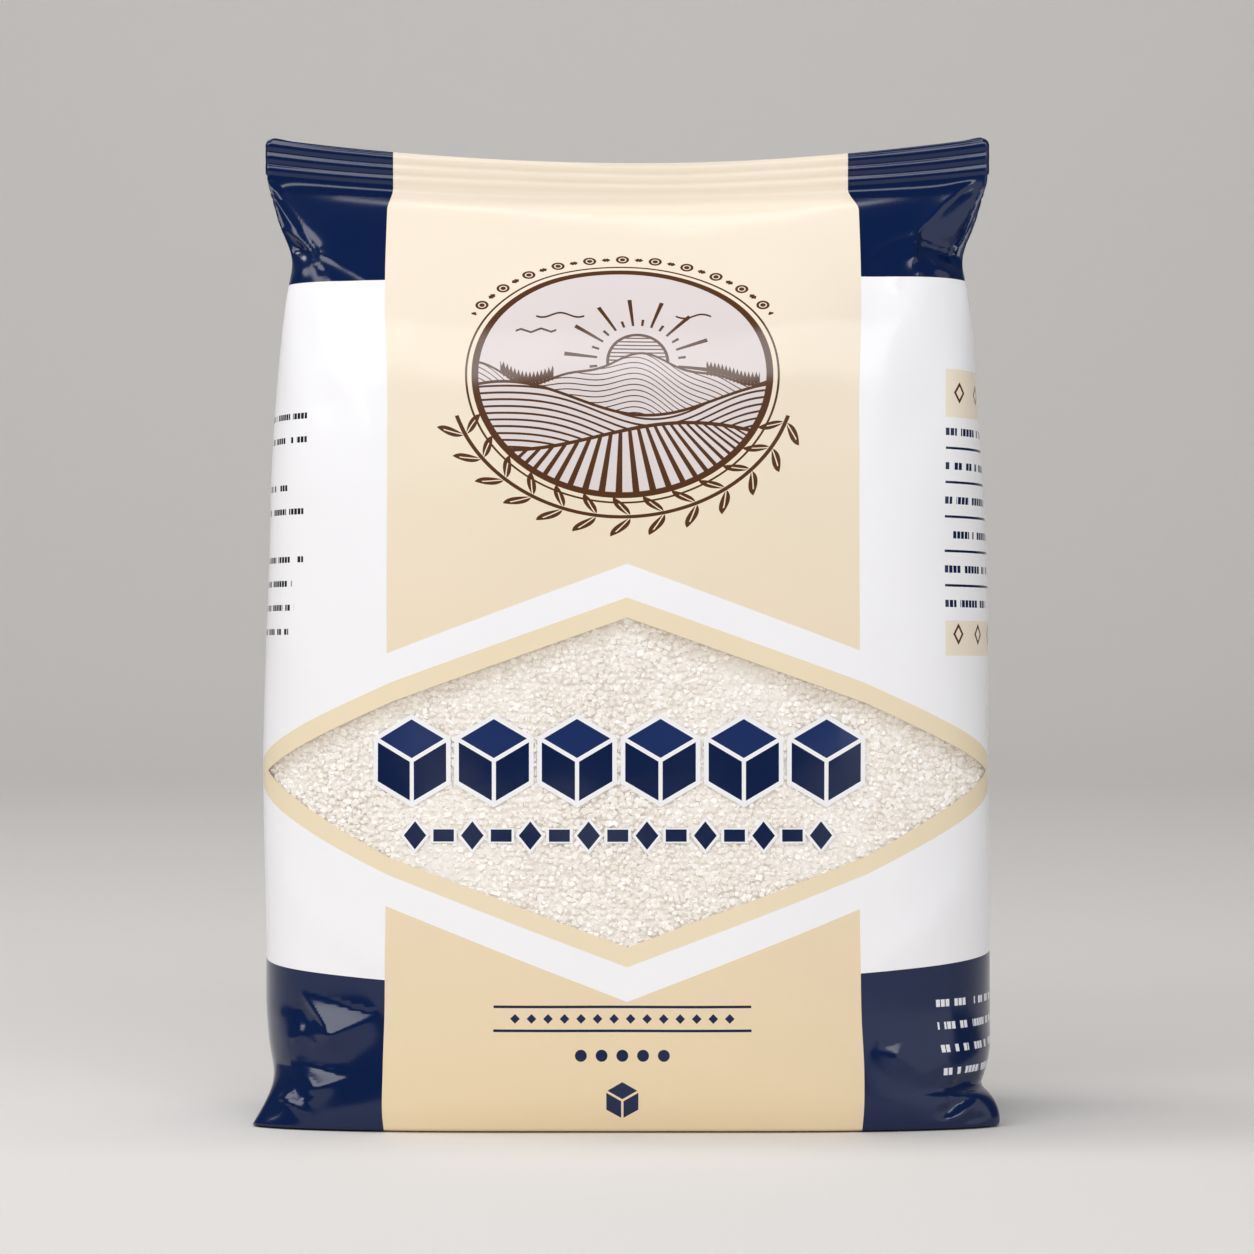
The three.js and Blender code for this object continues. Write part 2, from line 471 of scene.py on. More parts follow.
# Folds in the film: each has a path of points (x, height) as seen from the front, in mm, how far it
# stands out, or in where that is negative, its widths to the left and the right, and its sharpness.
foldList = [
    # top left: the edge of the front runs down from the seal's corner into a dimple
    (((-73.3, 189.3), (-70.3, 185.4), (-66.4, 179.6), (-63.8, 174.7)), -0.7, (1.9, 0.5), 1.2),
    (((-69.0, 178.6), (-66.0, 176.4), (-63.6, 174.3)), 0.5, (0.4, 0.8), 1.3),
    (((-66.6, 175.1), (-64.6, 173.7)), -0.8, (1.5, 1.5), 2),
    (((-63.4, 174.1), (-62.8, 171.9), (-61.6, 170.3)), -0.4, (1.2, 0.5), 1.3),
    (((-62.8, 174.1), (-59.5, 172.9), (-56.9, 171.3), (-54.5, 170.1), (-51.7, 168.3)), 0.35, (0.7, 1.2), 1.5),
    (((-62.6, 172.3), (-60.5, 170.1), (-58.9, 168.3), (-58.3, 166.8)), 0.35, (0.7, 1), 1.5),
    (((-66.0, 170.1), (-68.0, 167.7)), 0.3, (1.2, 1.2), 2),
    # top right
    (((71.9, 189.3), (67.2, 186.5), (63.4, 183.2), (61.1, 180.6), (59.1, 178.6), (58.0, 177.2),
      (57.7, 174.9), (57.7, 172.9)), 1.1, (0.6, 1.7), 1.2),
    (((60.8, 175.5), (64.0, 175.1)), -0.7, (2.4, 2.4), 2),
    (((58.5, 176.4), (63.0, 174.9), (66.8, 174.1)), 0.4, (0.5, 0.6), 1.4),
    (((57.5, 177.0), (54.3, 176.1), (51.4, 174.7), (49.6, 172.7)), 0.4, (1.4, 0.8), 1.5),
    (((55.3, 173.1), (54.5, 170.3), (53.9, 167.3)), 0.45, (1.3, 1.3), 1.6),
    (((57.8, 174.3), (58.5, 172.1), (58.7, 170.1)), 0.4, (0.9, 0.9), 1.6),
    (((62.4, 170.9), (65.4, 169.7), (68.2, 170.5)), 0.35, (1, 1), 1.6),
    # soft folds down the sides
    (((-63.2, 172.1), (-57.9, 159.4), (-51.5, 138.1)), 0.4, (4, 5.5), 2),
    (((-66.0, 166.0), (-61.6, 144.2)), -0.35, (4, 4), 2),
    (((-59.9, 164.4), (-66.0, 148.2), (-67.6, 130.1)), 0.25, (5, 5), 2),
    (((58.9, 170.9), (53.7, 156.3), (48.8, 134.1)), 0.4, (4.5, 4.5), 2),
    (((65.4, 166.0), (61.4, 142.2)), -0.35, (4, 4), 2),
    (((60.3, 164.4), (66.4, 146.2), (67.8, 128.0)), 0.25, (5, 5), 2),
    (((-69.2, 95.7), (-59.9, 83.6), (-56.9, 63.3)), 0.22, (6, 6), 2),
    (((69.0, 103.8), (58.3, 85.6), (56.3, 63.3)), 0.22, (6, 6), 2),
    (((-71.7, 48.2), (-62.0, 38.1), (-51.5, 31.0)), 0.35, (4, 3), 2),
    (((70.5, 50.2), (61.4, 38.1), (51.3, 31.0)), 0.35, (4, 3), 2),
    (((-34.7, 174.5), (-21.5, 177.6), (-3.3, 180.2)), 0.2, (4, 5), 2),
    (((44.2, 164.4), (33.1, 176.6), (22.9, 181.6)), 0.2, (5, 4), 2),
    # bottom left
    (((-71.9, 10.4), (-70.3, 8.8), (-68.4, 6.2), (-66.4, 3.3), (-65.4, 2.1)), -0.8, (0.9, 0.5), 1.3),
    (((-70.3, 3.0), (-68.0, 1.7), (-65.6, -0.1)), 0.5, (0.5, 0.5), 1.3),
    (((-68.6, 3.7), (-70.3, 3.0)), 0.35, (0.5, 0.5), 1.3),
    (((-72.1, 7.1), (-70.9, 4.3), (-72.1, 1.1)), -0.6, (1.6, 1.6), 2),
    (((-66.0, 20.9), (-64.8, 18.1)), -0.5, (1.4, 1.4), 2),
    (((-69.8, 18.9), (-68.8, 14.0)), 0.35, (2, 2), 2),
    # bottom right
    (((62.0, -3.4), (64.7, -2.6), (67.3, -1.0), (69.8, 1.4)), 0.7, (1, 0.6), 1.3),
    (((67.3, -4.6), (71.2, -3.0), (74.4, -2.7), (75.9, -3.2)), 0.6, (0.9, 0.5), 1.3),
    (((65.0, -0.1), (69.0, 2.5)), -0.9, (1.3, 1.3), 2),
    (((66.4, -3.6), (71.5, -1.6)), -0.6, (0.9, 0.9), 2),
    (((67.4, 2.5), (69.8, 3.5), (72.3, 3.7)), 0.5, (0.9, 0.6), 1.4),
    (((66.4, 3.3), (68.2, 5.9), (70.7, 7.3)), -0.8, (1.7, 1.7), 2),
    (((56.3, 10.0), (60.3, 8.3), (63.4, 10.4)), 0.35, (2.4, 2.4), 2),
]

# Facets: a triangle leaves the film at the line from its first corner to its second, and stands out the
# most at the third. The widths are those of the falls beyond its other two sides.
facetList = [
    # the side panels of the head
    (((-72.9, 188.5), (-63.6, 174.1), (-67.6, 174.3)), -1.2, (1.2, 1.2)),
    (((71.5, 188.5), (58.3, 176.6), (67.6, 173.3)), -2.4, (2.0, 2.4)),
    # bottom left
    (((-65.6, 24.3), (-50.4, 20.1), (-59.3, 15.8)), 2.2, (0.6, 3.2)),
    (((-69.0, 11.0), (-56.3, 7.3), (-62.8, 5.1)), 1.05, (1.2, 2.2)),
    (((-65.4, 18.3), (-64.6, 16.6), (-66.8, 15.0)), 0.45, (0.6, 0.8)),
    (((-64.2, 14.6), (-62.0, 15.0), (-62.4, 13.6)), 0.3, (0.6, 0.8)),
    (((-68.8, 7.1), (-62.6, 2.5), (-65.6, 2.3)), 0.8, (0.5, 1.2)),
    # bottom right
    (((49.6, 13.2), (58.1, 15.6), (54.5, 11.6)), 0.7, (2.4, 2.4)),
]


def pathPush(here, path, widths, sharpness):
    # 1 on a path of points, falling off on both of its sides
    nearest = np.full(len(here), 1e9)
    width = np.full(len(here), float(widths[0]))
    for start, end in zip(path[:-1], path[1:]):
        along = end - start
        apart = here - start
        share = np.clip((apart @ along) / (along @ along), 0, 1)
        distance = np.linalg.norm(apart - share[:, None] * along, axis=1)
        isLeft = along[0] * apart[:, 1] - along[1] * apart[:, 0] > 0
        width = np.where(distance < nearest, np.where(isLeft, *widths), width)
        nearest = np.minimum(nearest, distance)
    return np.exp(-((nearest / width) ** sharpness))


def facetPush(here, corners, falls):
    # how far each point is from the line of the first two corners towards the third, falling off outside
    first, second, third = corners
    shape = np.array([second - first, third - first]).T
    along, out = ((here - first) @ np.linalg.inv(shape).T).T
    inside = (along > 0) & (out > 0) & (along + out < 1)
    push = np.where(inside, np.maximum(out, 0) ** 1.15, 0)
    for start, fall in ((first, falls[0]), (second, falls[1])):
        line = third - start
        share = np.clip(((here - start) @ line) / (line @ line), 0, 1)
        distance = np.linalg.norm(here - start - share[:, None] * line, axis=1)
        push = np.maximum(push, np.where(inside, 0, share * np.exp(-((distance / fall) ** 1.6))))
    return push


def folds(point, s):
    # how far each point of the film stands out, from where it is seen; the back has the folds mirrored
    side = np.where(np.abs(s) < sheet["girth"] / 4, 1, -1)
    away, level = -eye[1] / mm, eye[2] / mm
    near = away / (away + point[:, 1] * side)
    x = point[:, 0] * near * side
    z = level + (point[:, 2] - level) * near
    total = np.zeros(len(x))
    for path, height, widths, *sharpness in foldList + facetList:
        path = np.array(path)
        reach = 3 * max(widths)
        box = (x > path[:, 0].min() - reach) & (x < path[:, 0].max() + reach)
        box &= (z > path[:, 1].min() - reach) & (z < path[:, 1].max() + reach)
        if not box.any():
            continue
        here = np.stack([x[box], z[box]], 1)
        push = pathPush if sharpness else facetPush
        total[box] += height * push(here, path, widths, *sharpness)
    return total


def pressedIn(point, normal, s):
    # the folds move the film level, so that its print stays level, and leave its outline alone
    level = normal * (1, 1, 0)
    facing = smooth(np.abs(normal[:, 1]) / np.maximum(np.linalg.norm(level, axis=1), 1e-6), 0.3, 0.8)
    return level * (folds(point, s) * facing)[:, None]


for piece in (film, windowFilm):
    wrap(piece)

# The sheet's two edges meet at the back, its ends along the middle of the base and the top
bpy.ops.object.select_all(action="DESELECT")
for piece in (film, windowFilm):
    bpy.context.view_layer.objects.active = piece
    piece.select_set(True)
    bpy.ops.object.mode_set(mode="EDIT")
    bpy.ops.mesh.select_all(action="SELECT")
    bpy.ops.mesh.remove_doubles(threshold=2e-6)
    bpy.ops.object.mode_set(mode="OBJECT")
    bpy.ops.object.shade_smooth()
    piece.select_set(False)

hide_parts("sugar_bag")
print("film placed")

# The seam up the back: the sheet's edges are welded into a fin, which lies flat to one side
backSeam = {
    "width": 9.0,
    "thickness": 0.35,
    "gap": 0.15,
    "ribPitch": 1.6,
    "ribDepth": 0.06,
    "columns": 18,
    "rows": 210,
}


def filmStrip(name, point, s, v, thickness):
    # a grid of film, from its points in mm and their places on the sheet, given its thickness
    rowCount, columnCount = s.shape
    bpy.ops.object.select_all(action="DESELECT")
    bpy.ops.mesh.primitive_grid_add(x_subdivisions=columnCount - 1, y_subdivisions=rowCount - 1, size=1)
    piece = bpy.context.object
    piece.name = piece.data.name = name
    setPoints(piece.data, point * mm)
    setSheetMap(piece.data, s.ravel(), v.ravel())
    wall = piece.modifiers.new("Thickness", "SOLIDIFY")
    wall.thickness = thickness * mm
    wall.offset = 1
    bpy.ops.object.modifier_apply(modifier=wall.name)
    bpy.ops.object.shade_smooth_by_angle(angle=math.radians(50))
    return piece


def makeBackSeam():
    top = sheet["sealStart"] + 0.8
    across = np.linspace(0, backSeam["width"], backSeam["columns"] + 1)
    up = np.linspace(sheet["baseRun"] + 0.5, top, backSeam["rows"] + 1)
    out, v = np.meshgrid(across, up)
    s = out - sheet["girth"] / 2
    lift = backSeam["gap"] + backSeam["ribDepth"] * np.sin(2 * np.pi * out / backSeam["ribPitch"])
    # its free edge stands off the pack, here more and there less
    lift += (out / backSeam["width"]) ** 2 * (0.35 + 0.3 * np.sin(v / 19) + 0.2 * np.sin(v / 8.3 + 1))
    lift = lift * smooth(top - v, 0, 8) + 0.1
    point = filmPoint(s.ravel(), v.ravel()) + sheetNormal(s.ravel(), v.ravel()) * lift.reshape(-1, 1)
    return filmStrip("back_seam", point, s, v, backSeam["thickness"])


# The seal of the base is folded flat under it
baseFold = {
    "halfLength": 64.0,
    "width": 10.0,
    "thickness": 0.22,
    "ribPitch": 1.9,
    "ribDepth": 0.05,
    "columns": 64,
    "rows": 30,
}


def makeBaseFold():
    across = np.linspace(-1, 1, baseFold["columns"] + 1) * baseFold["halfLength"]
    x, y = np.meshgrid(across, np.linspace(0, baseFold["width"], baseFold["rows"] + 1))
    z = 0.02 + baseFold["ribDepth"] * (1 + np.cos(2 * np.pi * y / baseFold["ribPitch"]))
    return filmStrip("base_fold", np.stack([x, y, z], -1), x, 0 * y, baseFold["thickness"])


seam = makeBackSeam()
fold = makeBaseFold()
bpy.ops.object.select_all(action="DESELECT")
print("seams made")

# The sugar: a core whose relief reaches the film, and loose crystals in the window in front of it
sugar = {
    "topOfHeap": 160.0,
    "coreInset": 0.8,
    "hiddenInset": 4.0,  # away from the window
    "relief": 0.4,
    "nearHalf": 96.0,  # the core is fine out to here, and coarse round the back
    "nearPitch": 0.75,
    "grainPitch": 1.08,
    "deepPitch": 1.42,
    "grainHalf": (0.3, 0.62),  # half of a crystal's sides
    "clear": 0.04,  # from the film
    "deeper": 0.75,  # the second layer
    "margin": 2.5,
    "stray": 0.42,  # how far a crystal lies from its place, in pitches
    "seed": 11,
}


def makeSugarCore():
    # fine rows and columns behind the window, coarse ones elsewhere
    half, pitch = sugar["nearHalf"], sugar["nearPitch"]
    nearColumns = np.arange(-half, half + 0.1, pitch)
    farColumns = np.linspace(half, sheet["girth"] - half, 44)[1:-1]
    columns = np.concatenate([nearColumns, farColumns])
    lowV, highV = windowBottom[0] - 4, windowTop[0] + 4
    rows = np.concatenate([
        np.linspace(sheet["baseRun"] * 0.1, sheet["baseRun"], 6)[:-1],
        np.linspace(sheet["baseRun"], lowV, 12)[:-1],
        np.arange(lowV, highV, pitch),
        np.linspace(highV, upSheet(sugar["topOfHeap"]), 26)[1:],
    ])
    s, v = np.meshgrid(columns, rows)
    s = (s + sheet["girth"] / 2) % sheet["girth"] - sheet["girth"] / 2
    shape = s.shape
    s, v = s.ravel(), v.ravel()
    rng = np.random.default_rng(sugar["seed"])
    rough = rng.random(shape)
    rough = rough + np.roll(rough, 1, 0)
    rough = (rough + np.roll(rough, 1, 1)) / 2 - 1
    run = np.abs(s)
    away = np.maximum(run - window["tipAt"], np.maximum(v - windowTop[0], windowBottom[0] - v))
    inset = sugar["coreInset"] + sugar["relief"] * rough.ravel()
    inset += (sugar["hiddenInset"] - sugar["coreInset"]) * smooth(away, 3, 10)
    normal = sheetNormal(s, v)
    normal[v < sheet["baseRun"]] = (0, 0, -1)
    point = filmPoint(s, v) - normal * inset[:, None]
    point[:, 2] = np.maximum(point[:, 2], sheet["baseLift"] + 0.5)
    low = point[:, 2] < 20  # none of it reaches into the ears
    limit = sheet["sealHalfWidth"] - sugar["hiddenInset"] - 3
    point[low, 0] = np.clip(point[low, 0], -limit, limit)
    rowsIn = point.reshape(*shape, 3)
    levels = [rowsIn]
    for share, rise in ((0.85, 1.2), (0.5, 2.2), (0.2, 2.8), (0.01, 3.0)):  # the top of the heap
        levels.append(rowsIn[-1:] * [share, share, 1] + [0, 0, rise])
    foot = rowsIn[:1] * [0.02, 0.02, 1]
    return meshFromRows("sugar_core", np.concatenate([foot, *levels]) * mm)


def crystal():
    # one crystal: a block with two of its edges cut away, sides of 2
    bpy.ops.mesh.primitive_cube_add(size=2)
    piece = bpy.context.object
    mesh = piece.data
    mesh.vertices.foreach_set("select", np.zeros(len(mesh.vertices), bool))
    mesh.polygons.foreach_set("select", np.zeros(len(mesh.polygons), bool))
    heights = np.array([[mesh.vertices[k].co.z for k in edge.vertices] for edge in mesh.edges])
    upright = np.flatnonzero(np.abs(heights[:, 0] - heights[:, 1]) > 1)
    chosen = np.zeros(len(mesh.edges), bool)
    chosen[upright[:4:2]] = True
    mesh.edges.foreach_set("select", chosen)
    bpy.ops.object.mode_set(mode="EDIT")
    bpy.ops.mesh.select_mode(type="EDGE")
    bpy.ops.mesh.bevel(offset=0.55, segments=1)
    bpy.ops.mesh.select_all(action="SELECT")
    bpy.ops.mesh.quads_convert_to_tris()
    bpy.ops.object.mode_set(mode="OBJECT")
    points = np.array([v.co for v in mesh.vertices])
    faces = np.array([p.vertices for p in mesh.polygons])
    bpy.data.objects.remove(piece)
    return points, faces


def turns(rng, count):
    # random turns, as matrices
    q = rng.normal(size=(count, 4))
    q /= np.linalg.norm(q, axis=1)[:, None]
    w, x, y, z = q.T
    return np.stack([
        np.stack([1 - 2 * (y * y + z * z), 2 * (x * y - z * w), 2 * (x * z + y * w)], -1),
        np.stack([2 * (x * y + z * w), 1 - 2 * (x * x + z * z), 2 * (y * z - x * w)], -1),
        np.stack([2 * (x * z - y * w), 2 * (y * z + x * w), 1 - 2 * (x * x + y * y)], -1),
    ], 1)


def makeGrains():
    rng = np.random.default_rng(sugar["seed"] + 1)
    points, faces = crystal()
    places = []
    for pitch, deep in ((sugar["grainPitch"], 0.0), (sugar["deepPitch"], sugar["deeper"])):
        across = np.arange(-window["tipAt"] - 3, window["tipAt"] + 3, pitch)
        up = np.arange(windowBottom[0] - 3, windowTop[0] + 3, pitch)
        s, v = np.meshgrid(across, up)
        s = s + (np.arange(len(up)) % 2)[:, None] * pitch / 2
        s = s.ravel() + rng.uniform(-sugar["stray"], sugar["stray"], s.size) * pitch
        v = v.ravel() + rng.uniform(-sugar["stray"], sugar["stray"], v.size) * pitch
        grow = sugar["margin"]
        inside = windowRule(s, v - grow) | windowRule(s, v + grow) | windowRule(s, v)
        places.append(np.column_stack([s[inside], v[inside], np.full(inside.sum(), deep)]))
    s, v, deep = np.concatenate(places).T
    count = len(s)
    half = rng.uniform(*sugar["grainHalf"], (count, 1)) * rng.uniform(0.75, 1.2, (count, 3))
    turned = turns(rng, count)
    normal = sheetNormal(s, v)
    # how far each crystal reaches towards the film, so that it just touches it
    reach = (np.abs(np.einsum("nij,ni->nj", turned, normal)) * half).sum(1)
    onFilm = filmPoint(s, v)
    depth = sugar["clear"] + reach + deep * rng.uniform(0.6, 1.2, count)
    centre = onFilm + normal * (undulation(s, v) - depth)[:, None] + pressedIn(onFilm, normal, s)
    corners = np.einsum("nij,npj->npi", turned, points[None] * half[:, None]) + centre[:, None]
    allFaces = (faces[None] + (np.arange(count) * len(points))[:, None, None]).reshape(-1, 3)
    mesh = bpy.data.meshes.new("sugar_grains")
    mesh.from_pydata((corners.reshape(-1, 3) * mm).tolist(), [], allFaces.tolist())
    piece = bpy.data.objects.new("sugar_grains", mesh)
    bpy.context.collection.objects.link(piece)
    shade = mesh.attributes.new("grainTone", "FLOAT", "POINT")
    shade.data.foreach_set("value", np.repeat(rng.random(count), len(points)).astype(np.float32))
    print("crystals:", count, "triangles:", len(allFaces))
    return piece


core = makeSugarCore()
core.select_set(True)
bpy.context.view_layer.objects.active = core
bpy.ops.object.shade_smooth()
core.select_set(False)
grains = makeGrains()
print("sugar made")


# Materials
def linear(*levels):
    # a colour from the values of 0 to 255 that it has on a screen
    shares = [level / 255 for level in levels]
    return tuple(c / 12.92 if c <= 0.04 else ((c + 0.055) / 1.055) ** 2.4 for c in shares) + (1,)


ink = {
    "navy": linear(0, 25, 68),
    "creamTop": linear(244, 231, 210),
    # painted shade: the cream's foot colour is darker and warmer than its top colour
    "creamShadedFoot": linear(238, 216, 178),
    "white": linear(249, 248, 249),
    "border": linear(242, 225, 193),
    "brown": linear(88, 54, 30),
    "lilac": linear(226, 216, 214),
    "black": linear(38, 38, 42),
    "paleNavy": linear(24, 46, 98),
    "pale": linear(236, 236, 242),
    # painted shade: the tan that the window film lays over the sugar under its upper edge
    "shade": linear(196, 178, 148),
}


class Field:
    # a node's output that is worked with like a number; a mask is 0 or 1
    def __init__(self, tree, socket):
        self.tree = tree
        self.socket = socket

    def make(self, kind, *values):
        node = self.tree.nodes.new("ShaderNodeMath")
        node.operation = kind
        for socket, value in zip(node.inputs, (self, *values)):
            if isinstance(value, Field):
                self.tree.links.new(value.socket, socket)
            else:
                socket.default_value = value
        return Field(self.tree, node.outputs[0])

    def __invert__(self):
        return self.make("MULTIPLY", -1.0) + 1.0

    def clamped(self):
        return self.make("MAXIMUM", 0.0).make("MINIMUM", 1.0)

    def eased(self):
        # held between 0 and 1, with soft ends
        share = self.clamped()
        return share * share * (share * -2.0 + 3.0)


signs = {
    "add": "ADD", "sub": "SUBTRACT", "mul": "MULTIPLY", "truediv": "DIVIDE", "mod": "FLOORED_MODULO",
    "abs": "ABSOLUTE", "lt": "LESS_THAN", "gt": "GREATER_THAN", "and": "MULTIPLY", "or": "MAXIMUM",
}
for sign, kind in signs.items():
    setattr(Field, f"__{sign}__", lambda self, *others, kind=kind: self.make(kind, *others))


def newMaterial(name):
    material = bpy.data.materials.new(name)
    material.use_nodes = True
    tree = material.node_tree
    tree.nodes.clear()
    output = tree.nodes.new("ShaderNodeOutputMaterial")
    return material, tree, output


def paint(tree, below, colour, mask):
    # one colour over another, where the mask says
    node = tree.nodes.new("ShaderNodeMix")
    node.data_type = "RGBA"
    tree.links.new(mask.socket, node.inputs["Factor"])
    for name, value in (("A", below), ("B", colour)):
        socket = [i for i in node.inputs if i.name == name and i.type == "RGBA"][0]
        if isinstance(value, tuple):
            socket.default_value = value
        else:
            tree.links.new(value, socket)
    return [o for o in node.outputs if o.type == "RGBA"][0]


def paintAll(tree, colour, layers):
    # layers are pairs of an ink and a mask
    for name, mask in layers:
        colour = paint(tree, colour, ink[name], mask)
    return colour


def between(value, low, high):
    return (value > low) & (value < high)


def bentLine(run, apex, slopes, sign):
    # the height on the sheet of a line that falls away from its apex and steepens at the break
    first = run * (sign * slopes[0]) + apex
    second = run * (sign * slopes[1]) + (apex + sign * (slopes[0] - slopes[1]) * window["breakAt"])
    return first.make("MINIMUM" if sign < 0 else "MAXIMUM", second)


def diamondField(run, v, top, bottom):
    # between an upper and a lower bent line, each with its apex and slopes
    return (v < bentLine(run, *top, -1)) & (v > bentLine(run, *bottom, 1))


def sheetPlace(tree):
    # s and v in mm
    place = tree.nodes.new("ShaderNodeUVMap")
    place.uv_map = "sheetMap"
    split = tree.nodes.new("ShaderNodeSeparateXYZ")
    tree.links.new(place.outputs[0], split.inputs[0])
    return [Field(tree, split.outputs[k]) * 100.0 for k in (0, 1)]


def chance(first, second, seed):
    # a number from 0 to 1 for each pair of whole numbers
    tree = first.tree
    pair = tree.nodes.new("ShaderNodeCombineXYZ")
    tree.links.new(first.socket, pair.inputs[0])
    tree.links.new(second.socket, pair.inputs[1])
    pair.inputs[2].default_value = seed
    noise = tree.nodes.new("ShaderNodeTexWhiteNoise")
    noise.noise_dimensions = "3D"
    tree.links.new(pair.outputs[0], noise.inputs["Vector"])
    return Field(tree, noise.outputs["Value"])


bands = {
    "left": -47.4,
    "right": 45.8,
    "backHalf": 46.6,
    "bendsFrom": 140.0,  # the cream band's edges bend in the head and at the seal
    "bendRun": 27.0,
    "navyTop": (167.4, 168.3),  # left, right
    "navyBottom": (29.9, 31.3),
    "navyRise": 0.07,  # of the foot's edge, from this far beside the middle
    "navyRiseFrom": 47.0,
    "stripTop": (111.6, (0.359, 0.37)),
    "stripBottom": (25.9, (0.386, 0.39)),
    "borderTop": (105.0, (0.346, 0.42)),
    "borderBottom": (32.7, (0.375, 0.47)),
    "shading": (4.0, 160.0),  # heights between which painted shade darkens and warms the cream towards the foot
}

# Rows of plain marks at the sides and on the back: lowest row, pitch of the rows, their count, the height
# of the marks, where they start and end on the sheet, the rows left out, and a seed
rowKeys = ("low", "pitch", "rows", "size", "start", "end", "gaps", "seed")
markRows = {
    "left": (98.8, 4.72, 10, 1.9, -112.0, -62.5, (4, 7), 1.5),
    "right": (104.4, 6.75, 6, 2.3, 64.5, 92.0, (), 2.5),
    "amounts": (104.4, 6.75, 6, 2.3, 101.0, 112.0, (), 6.5),
    "foot": (11.4, 4.4, 4, 2.3, 61.5, 88.0, (), 3.5),
    "back": (112.0, 5.2, 8, 2.0, 13.0, 42.0, (3,), 5.5),  # measured from the middle of the back
}
markForm = {
    "pitch": 0.5,  # of a mark's height
    "barHalf": 0.31,
    "fill": 0.8,  # of the pitch
    "missing": 0.12,  # the share of the marks
    "wordLength": 6.0,  # at most, in marks
    "raggedEnd": 8.0,  # how much shorter a row may be
}


def rowsOfMarks(s, v, name):
    rows = dict(zip(rowKeys, markRows[name]))
    base = upSheet(rows["low"]) - rows["pitch"] / 2
    row = ((v - base) / rows["pitch"]).make("FLOOR")
    within = (v - base) % rows["pitch"] - rows["pitch"] / 2
    pitch = rows["size"] * markForm["pitch"]
    across = s - rows["start"]
    kind = chance((across / pitch).make("FLOOR"), row, rows["seed"])
    bar = abs(within) < rows["size"] * markForm["barHalf"]
    mark = bar & (across % pitch < pitch * markForm["fill"]) & (kind > markForm["missing"])
    wordRun = pitch * markForm["wordLength"]
    gapAt = chance((across / wordRun).make("FLOOR"), row, rows["seed"] + 9.0) * (wordRun - 2 * pitch)
    wordGap = between(across % wordRun, gapAt, gapAt + pitch)
    ending = chance(row, row, rows["seed"] + 3.5) * -markForm["raggedEnd"] + rows["end"]
    mark = mark & ~wordGap & (across > 0.0) & (s < ending) & between(row, -0.5, rows["rows"] - 0.5)
    for gap in rows["gaps"]:
        mark = mark & ~between(row, gap - 0.5, gap + 0.5)
    return mark


def cubeParts(p, q, size, outline, line):
    # a sugar cube seen from a corner: its faces, the lighter top, and its white edges
    cos30, tan30 = math.cos(math.pi / 6), math.tan(math.pi / 6)
    away = abs(p).make("MAXIMUM", abs(p) * 0.5 + abs(q) * cos30) - size
    inside = away < 0.0
    upEdge = abs(q - abs(p) * tan30) * cos30
    edges = inside & (((abs(p) < line) & (q < 0.0)) | (upEdge < line))
    top = inside & (q > abs(p) * tan30)
    return inside, top, edges | between(away, 0.0, outline)


windowPrintAndShade = {
    "cubes": 6,
    "pitch": 16.3,
    "middle": -1.6,
    "height": 73.2,
    "size": 6.9,
    "outline": 0.9,
    "line": 0.4,
    "rowHeight": 58.5,
    "rowPitch": 5.7,
    "rowCount": 15,
    "rowMiddle": -1.8,
    "dashHalf": 2.05,
    "dashFlatness": 1.9,
    "diamondHalf": 1.75,
    "rowOutline": 0.55,
    "shadeRun": 4.0,  # painted shade: the film is tinted tan a little under the window's upper edge, darkening the sugar there
    "shade": 0.3,
}


def windowMarks(s, v):
    # what is printed on the clear film: a row of sugar cubes, and small diamonds and dashes below them
    cell = windowPrintAndShade["pitch"]
    start = windowPrintAndShade["middle"] - windowPrintAndShade["cubes"] * cell / 2
    p = (s - start) % cell - cell / 2
    q = v - upSheet(windowPrintAndShade["height"])
    cubes, top, edges = cubeParts(p, q, *(windowPrintAndShade[name] for name in ("size", "outline", "line")))
    there = between(s, start, start + windowPrintAndShade["cubes"] * cell)
    cell = windowPrintAndShade["rowPitch"]
    start = windowPrintAndShade["rowMiddle"] - windowPrintAndShade["rowCount"] * cell / 2
    p = abs((s - start) % cell - cell / 2)
    q = abs(v - upSheet(windowPrintAndShade["rowHeight"]))
    isDash = ((s - start) / cell).make("FLOOR") % 2.0
    dash = p.make("MAXIMUM", q * windowPrintAndShade["dashFlatness"] - 0.2) - windowPrintAndShade["dashHalf"]
    diamond = (p + q * 0.82) * 0.78 - windowPrintAndShade["diamondHalf"]
    away = dash * isDash + diamond * ~isDash
    inRow = between(s, start, start + windowPrintAndShade["rowCount"] * cell)
    navy = (cubes & there) | ((away < 0.0) & inRow)
    white = (edges & there) | (between(away, 0.0, windowPrintAndShade["rowOutline"]) & inRow)
    return navy, top & there, white


